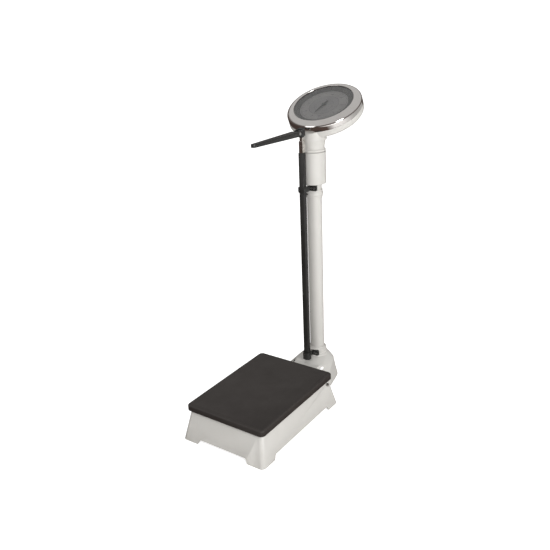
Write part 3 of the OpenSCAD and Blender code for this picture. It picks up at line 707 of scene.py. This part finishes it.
# Its near-black tone is partly the surround's own dark grey and partly painted shade of the deep recess
# under the bezel.
DARK_SURROUND_WITH_PAINTED_SHADE = Finish("dark dial surround with painted shade", (0.028, 0.025, 0.024), (0.045, 0.041, 0.04), (0.3, 0.45), metallic=0.5,
                relief=900.0, depth=0.00001)
INK = Finish("printing ink", (0.015, 0.015, 0.018), (0.025, 0.025, 0.028), (0.5, 0.7),
             relief=2500.0, depth=0.000004)
GLASS = ClearGlass()


def dress(obj: bpy.types.Object, finish) -> None:
    """Gives every material slot of an object one finish."""
    material = finish.build()
    if not obj.data.materials:
        obj.data.materials.append(material)
    for i in range(len(obj.data.materials)):
        obj.data.materials[i] = material


def fit(obj: bpy.types.Object, finish, body: str, slot_name: str, *stands_for: str) -> None:
    """Dresses a new piece, hangs it on its body and hides the nodes that it stands for.

    Args:
        obj: The piece.
        finish: Its finish.
        body: The body that it rides on.
        slot_name: The material slot of the record that it takes its finish from; not used.
        stands_for: Frame nodes that it replaces.
    """
    dress(obj, finish)
    if stands_for:
        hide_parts(*stands_for)
    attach(obj, body)
    LOG.info("%s: %d faces on %s", obj.name, len(obj.data.polygons), body)


# ---------------------------------------------------------------- pieces

@dataclass
class EasedNodes:
    """Frame nodes whose hard edges are eased, as painted, moulded or pressed edges are.

    Attributes:
        plan: Node name, body, finish, material slot and edge radius of each piece.
    """

    plan: list = field(default_factory=list)

    def eased(self, node: str, radius: float) -> bpy.types.Object:
        """Copies a node, merges its triangles into flat faces and rounds its edges.

        Args:
            node: The frame node.
            radius: Radius of the eased edges.

        Returns:
            The new piece.
        """
        copy = welded_copy(node, node + "_eased")
        bpy.ops.mesh.dissolve_limited(angle_limit=math.radians(0.5))
        bpy.ops.object.mode_set(mode="OBJECT")
        apply_modifier(copy, "BEVEL", width=radius, segments=2, limit_method="ANGLE",
                       angle_limit=math.radians(38), use_clamp_overlap=True, miter_outer="MITER_SHARP")
        return settle(copy, node + "_eased", 32)

    def build(self) -> None:
        """Builds each piece of the plan."""
        for node, body, finish, slot_name, radius in self.plan:
            fit(self.eased(node, radius), finish, body, slot_name, node)


@dataclass
class PlatformCover:
    """Rubber tray over the platform plate.

    Attributes:
        corner: Radius of its four upright corners.
        lip: Radius of its upper edge.
        skirt: Radius at its lower edge.
        wall: Thickness of its sides.
        border: Width of the plain border on top.
        groove: Width of the slope at the border's inner edge.
        sink: How far the tread lies below the border.
    """

    corner: float = 0.014
    lip: float = 0.0042
    skirt: float = 0.0012
    wall: float = 0.004
    border: float = 0.0045
    groove: float = 0.0008
    sink: float = 0.0005

    def build(self) -> None:
        """Builds the cover with a hollow underside and a shallow border line on top."""
        low, high = node_box("platform_mat")
        size = high - low
        cover = block(tuple(size), tuple((low + high) / 2))
        round_edges(cover, lambda a, b: abs(a.z - b.z) > size.z / 2, self.corner, 10)
        round_edges(cover, lambda a, b: min(a.z, b.z) > high.z - LEVEL, self.lip, 6)
        round_edges(cover, lambda a, b: max(a.z, b.z) < low.z + LEVEL, self.skirt, 2)
        edit_select(cover, "FACE", lambda c, n: n.z < -FLAT and c.z < low.z + LEVEL)
        bpy.ops.mesh.inset(thickness=self.wall)
        hollow = node_box("platform_plate")[1].z - low.z
        bpy.ops.mesh.extrude_region_move(TRANSFORM_OT_translate={"value": (0, 0, hollow)})
        edit_select(cover, "FACE", lambda c, n: n.z > FLAT and c.z > high.z - LEVEL)
        bpy.ops.mesh.inset(thickness=self.border)
        bpy.ops.mesh.inset(thickness=self.groove)
        bpy.ops.transform.translate(value=(0, 0, -self.sink))
        bpy.ops.object.mode_set(mode="OBJECT")
        settle(cover, "platform_cover", 40)
        fit(cover, COVER_RUBBER, "platform", "rubber", "platform_mat")


@dataclass
class FootCasting:
    """Bell-shaped casting that carries the column.

    Attributes:
        grain: Size of the net that the casting is smoothed on.
        passes: How often it is smoothed.
    """

    grain: float = 0.0012
    passes: int = 7

    def build(self) -> None:
        """Copies the frame's casting and rounds all of it as sand casting does."""
        casting = welded_copy("column_foot", "foot_casting")
        bpy.ops.object.mode_set(mode="OBJECT")
        apply_modifier(casting, "REMESH", mode="VOXEL", voxel_size=self.grain, adaptivity=0.0)
        apply_modifier(casting, "SMOOTH", factor=0.5, iterations=self.passes)
        settle(casting, "foot_casting", 60)
        fit(casting, ENAMEL, "frame", "paint", "column_foot")


@dataclass
class ReachArm:
    """Blade that is lowered onto the person's head.

    Attributes:
        edge: Radius of its edges.
    """

    edge: float = 0.0016

    def build(self) -> None:
        """Rounds the blade and its tongue."""
        blade = ("measuring_arm", "measuring_arm", MOULDED, "black_plastic", self.edge)
        EasedNodes([blade]).build()


@dataclass
class DialHead:
    """Bezel, dial print and numbers of the tilted head.

    Attributes:
        window: Radius of the window.
        rim: Outer radius of the bezel.
        width: Width of the bezel's dome, from its crest to its rim.
        crest: Height of the dome over its own foot.
        foot: Level of the dome's foot, below the dial's own centre.
        skirt: Depth of the bezel's skirt.
        per_step: Degrees of dial per kilogram.
        zero: Angle of the zero stroke.
        skin: Thickness of the bezel's sheet.
        lip: Radius of the roll round the window.
        nick: Width of the small slope at the foot of the skirt.
        last: Highest number on the dial.
        between: Step from one number to the next.
        numbers_r: Radius on which the numbers stand.
        numbers_h: Height of their type.
        ink: Half their thickness.
        face: Level of the printed face, from the arbor's own point.
    """

    window: float = 0.094
    rim: float = 0.1178
    width: float = 0.022
    crest: float = 0.014
    foot: float = 0.0135
    skirt: float = 0.0258
    per_step: float = 2.1
    zero: float = -102.0
    skin: float = 0.0016
    lip: float = 0.0009
    nick: float = 0.0005
    last: int = 160
    between: int = 20
    numbers_r: float = 0.0575
    numbers_h: float = 0.0085
    ink: float = 0.00005
    face: float = -0.01042

    def centre(self) -> Point:
        """Returns the point of the arbor that the dial is drawn round."""
        return tuple(joint("pointer_arbor")["pos_m"])

    def tilt(self) -> float:
        """Returns how far the dial leans, in radians."""
        axis = Vector(joint("pointer_arbor")["axis"])
        return math.atan2(-axis.y, axis.z)

    def place(self) -> Matrix:
        """Returns the matrix that puts a flat piece on the tilted dial."""
        return Matrix.Translation(self.centre()) @ Matrix.Rotation(self.tilt(), 4, "X")

    def bezel(self) -> None:
        """Turns the chrome bezel: skirt, dome and a small rolled lip round the window."""
        inner = self.rim - self.skin
        crest_r = self.rim - self.width
        top = self.crest - self.foot

        def dome(shrink: float, start: float, end: float) -> list:
            """Points of the dome, or of its inside when it is shrunk by the sheet's thickness."""
            width, height = self.width - shrink, self.crest - shrink
            return [(crest_r + width * r, height * z - self.foot)
                    for r, z in arc((0, 0), 1.0, start, end, 20)]

        profile = [(inner, -self.skirt), (self.rim - self.nick, -self.skirt),
                   (self.rim, self.nick - self.skirt)]
        profile += dome(0.0, 0, 90)
        profile += arc((self.window + self.lip, top - self.lip), self.lip, 90, 270, 8)
        profile += dome(self.skin, 90, 0)
        ring = turned(profile, 128, closed=True)
        ring.matrix_world = self.place()
        settle(ring, "bezel_ring", 30)
        fit(ring, CHROME, "frame", "chrome", "bezel")

    def print_on_dial(self) -> None:
        """Dresses the dial plate with its printed rings and strokes."""
        finish = DialPrint("printed silver dial", (0.34, 0.325, 0.325), (0.27, 0.258, 0.26), (0.4, 0.55),
                           metallic=0.3, mottle=25.0, relief=1500.0, depth=0.000006,
                           centre=self.centre(), tilt=self.tilt(), zero=self.zero, step=self.per_step)
        dress(frame["nodes"]["dial_plate"], finish)

    def numbers(self) -> None:
        """Sets the dial's numbers, each upright on its own radius."""
        place = self.place()
        made = []
        for value in range(0, self.last + 1, self.between):
            angle = math.radians(self.zero - value * self.per_step)
            leave_selection()
            bpy.ops.object.text_add(location=(0, 0, 0))
            label = bpy.context.object
            label.data.body = str(value)
            label.data.size = self.numbers_h
            label.data.align_x = "CENTER"
            label.data.align_y = "CENTER"
            label.data.extrude = self.ink
            label.data.resolution_u = 2
            only(label)
            bpy.ops.object.convert(target="MESH")
            label = bpy.context.object
            at = Vector((self.numbers_r * math.cos(angle), self.numbers_r * math.sin(angle), self.face))
            label.matrix_world = place @ Matrix.Translation(at)
            bpy.ops.object.transform_apply(location=True, rotation=True, scale=True)
            made.append(label)
        leave_selection()
        for label in made:
            label.select_set(True)
        bpy.context.view_layer.objects.active = made[0]
        bpy.ops.object.join()
        numbers = settle(bpy.context.object, "dial_numbers", 30)
        edit_whole(numbers)
        bpy.ops.mesh.remove_doubles(threshold=1e-7)
        bpy.ops.mesh.normals_make_consistent(inside=False)
        bpy.ops.object.mode_set(mode="OBJECT")
        fit(numbers, INK, "frame", "needle")

    def build(self) -> None:
        """Builds the bezel and the dial's print."""
        self.bezel()
        self.print_on_dial()
        self.numbers()


@dataclass
class CarriedNodes:
    """Frame nodes that keep their own shape and get a finish.

    Attributes:
        finishes: Which nodes get which finish.
    """

    finishes: dict = field(default_factory=dict)

    def build(self) -> None:
        """Dresses each node."""
        for finish, names in self.finishes.items():
            for name in names:
                dress(frame["nodes"][name], finish)
                LOG.info("%s: %s", name, finish.title)


# ---------------------------------------------------------------- studio

@dataclass(frozen=True)
class Lamp:
    """One soft square light.

    Attributes:
        name: Its name.
        at: Where it hangs.
        aim: What it points at.
        size: Side length.
        power: Watts.
    """

    name: str
    at: Point
    aim: Point
    size: float
    power: float

    def build(self) -> None:
        """Adds the light."""
        data = bpy.data.lights.new(self.name, "AREA")
        data.size = self.size
        data.energy = self.power
        obj = bpy.data.objects.new(self.name, data)
        bpy.context.scene.collection.objects.link(obj)
        direction = Vector(self.aim) - Vector(self.at)
        turn = direction.to_track_quat("-Z", "Y").to_matrix().to_4x4()
        obj.matrix_world = Matrix.Translation(self.at) @ turn


@dataclass
class Studio:
    """Floor, lights and camera.

    Attributes:
        stand: Where the camera stands, from the floor under the platform's centre.
        azimuth: Direction of the camera round the column, in degrees.
        elevation: Its height angle, in degrees.
        roll: How far the picture leans, in degrees.
        lens: Focal length in millimetres.
        sensor: Width of the sensor in millimetres.
        ambient: Strength of the surrounding light.
        band_low: Height on the unit sphere where the dark band starts to clear.
        band_high: Height where it has cleared.
        band_tone: Colour of everything below band_low, as the chrome sees it.
        sky: Colour of everything above band_high.
        backdrop: Colour of the surroundings as the camera sees them.
        floor_size: Side length of the floor.
        floor_tone: Colour of the floor.
        floor_dark: Painted reflection colour of the floor's near part, which only glossy rays such as the
            chrome's see.
        dark_from: The floor's painted dark reflection is full up to here along X.
        dark_to: From here on the painted reflection is gone and the floor is pale for every ray.
        floor_glow: Light that the floor adds in the camera's own view.
        lamps: The lights.
    """

    stand: Point = (1.091, -1.433, 1.190)
    azimuth: float = 35.51
    elevation: float = 21.48
    roll: float = -2.51
    lens: float = 44.4
    sensor: float = 36.0
    ambient: float = 0.6
    band_low: float = 0.25
    band_high: float = 0.5
    band_tone: Colour = (0.20, 0.165, 0.15)
    sky: Colour = (1.0, 1.0, 0.99)
    backdrop: Colour = (1.9, 1.9, 1.88)
    floor_size: float = 60.0
    floor_tone: Colour = (0.95, 0.95, 0.945)
    floor_dark: Colour = (0.10, 0.07, 0.06)
    dark_from: float = 0.5
    dark_to: float = 0.9
    floor_glow: float = 0.8
    lamps: tuple[Lamp, ...] = (
        Lamp("key", (2.6, -1.2, 1.3), (0, 0, 0.35), 1.0, 63.0),
        Lamp("fill", (-1.2, -2.8, 1.5), (0, 0, 0.4), 1.4, 12.0),
    )

    def camera(self) -> None:
        """Adds the camera."""
        az, el, roll = (math.radians(v) for v in (self.azimuth, self.elevation, self.roll))
        back = Vector((math.sin(az) * math.cos(el), -math.cos(az) * math.cos(el), math.sin(el)))
        right = Vector((0, 0, 1)).cross(back).normalized()
        up = back.cross(right)
        across = right * math.cos(roll) + up * math.sin(roll)
        above = -right * math.sin(roll) + up * math.cos(roll)
        data = bpy.data.cameras.new("camera")
        data.lens = self.lens
        data.sensor_width = self.sensor
        data.clip_end = 50.0
        obj = bpy.data.objects.new("camera", data)
        bpy.context.scene.collection.objects.link(obj)
        turn = Matrix((across, above, back)).transposed().to_4x4()
        low, high = node_box("platform_mat")
        eye = Vector(self.stand) + Vector((0, (low.y + high.y) / 2, 0))
        obj.matrix_world = Matrix.Translation(eye) @ turn
        bpy.context.scene.camera = obj

    def floor(self) -> None:
        """Adds a wide pale floor that glows for the camera, with a painted dark reflection on its near part
        that only glossy rays see.
        """
        leave_selection()
        bpy.ops.mesh.primitive_plane_add(size=self.floor_size, location=(0, 0, 0))
        ground = bpy.context.object
        ground.name = "floor"
        material, w, shader = new_material("pale floor")
        shader["Roughness"].default_value = 0.9
        shader["Specular IOR Level"].default_value = 0.1
        shader["Emission Color"].default_value = (1.0, 1.0, 0.995, 1)
        path = w.add("LightPath").outputs
        # painted reflection: only glossy rays see the floor's near side dark brown, which puts a dark
        # reflection band in the chrome
        reflection_side_mask = w.ramp(w.axes(w.position())["X"], self.dark_from, self.dark_to, 1.0, 0.0)
        painted_reflection_mask = w.math("MULTIPLY", path["Is Glossy Ray"], reflection_side_mask)
        w.join(w.blend(painted_reflection_mask, self.floor_tone, self.floor_dark), shader["Base Color"])
        glow = w.math("MULTIPLY", path["Is Camera Ray"], self.floor_glow)
        w.join(glow, shader["Emission Strength"])
        ground.data.materials.append(material)

    def world(self) -> None:
        """Sets a pale surrounding with a warm dark band at eye level for the chrome to reflect."""
        world = bpy.data.worlds.new("studio")
        bpy.context.scene.world = world
        bpy.context.scene.view_settings.view_transform = "Standard"
        world.use_nodes = True
        w = Wiring(world.node_tree)
        height = w.axes(w.add("TexCoord").outputs["Generated"])["Z"]
        lift = w.ramp(height, self.band_low, self.band_high, 0.0, 1.0)
        room = w.blend(lift, self.band_tone, self.sky)
        seen = w.add("LightPath").outputs["Is Camera Ray"]
        background = world.node_tree.nodes["Background"]
        w.join(w.blend(seen, room, self.backdrop), background.inputs["Color"])
        background.inputs["Strength"].default_value = self.ambient

    def build(self) -> None:
        """Builds the studio."""
        self.world()
        self.floor()
        for lamp in self.lamps:
            lamp.build()
        self.camera()


def main() -> None:
    """Builds the scale and its studio."""
    logging.basicConfig(level=logging.INFO, format="%(name)s: %(message)s")
    EasedNodes([
        ("base_housing", "frame", ENAMEL, "paint", 0.0012),
        ("upper_bracket", "frame", BLACK_ENAMEL, "dark_paint", 0.0006),
        ("lower_bracket", "frame", BLACK_ENAMEL, "dark_paint", 0.0008),
        ("height_tube", "frame", BLACK_ENAMEL, "dark_paint", 0.0005),
        ("rod_head", "inner_rod", MOULDED, "black_plastic", 0.0010),
    ]).build()
    PlatformCover().build()
    FootCasting().build()
    ReachArm().build()
    DialHead().build()
    graduated = GraduatedMetal("graduated chrome", (0.74, 0.71, 0.68), (0.68, 0.65, 0.62), (0.12, 0.22),
                               metallic=1.0, mottle=40.0, relief=900.0, depth=0.00001,
                               effect=Effect.BRUSHING)
    CarriedNodes({
        ENAMEL: ["foot_bolts", "column_tube", "column_collar", "spring_housing", "neck", "head_casing"],
        BLACK_ENAMEL: ["collar_screw", "pointer", "pointer_hub"],
        PAD_RUBBER: ["foot_pads"],
        CAST: ["fulcrum_bearings", "platform_legs", "long_lever", "short_lever"],
        STEEL: ["spring_hanger", "main_spring", "crank_pin", "pull_rod", "rod_nut", "spring_seat",
                "platform_plate", "long_lever_shafts", "short_lever_shafts", "lever_link", "bracket_screws",
                "arm_pin", "lock_screw"],
        BRASS: ["movement_frame", "crank_bracket", "bell_crank", "rack", "pinion"],
        MOULDED: ["zero_knob"],
        DARK_SURROUND_WITH_PAINTED_SHADE: ["dial_spacer"],
        graduated: ["middle_tube", "inner_rod"],
        GLASS: ["dial_glass"],
    }).build()
    Studio().build()


if __name__ == "__main__":
    main()
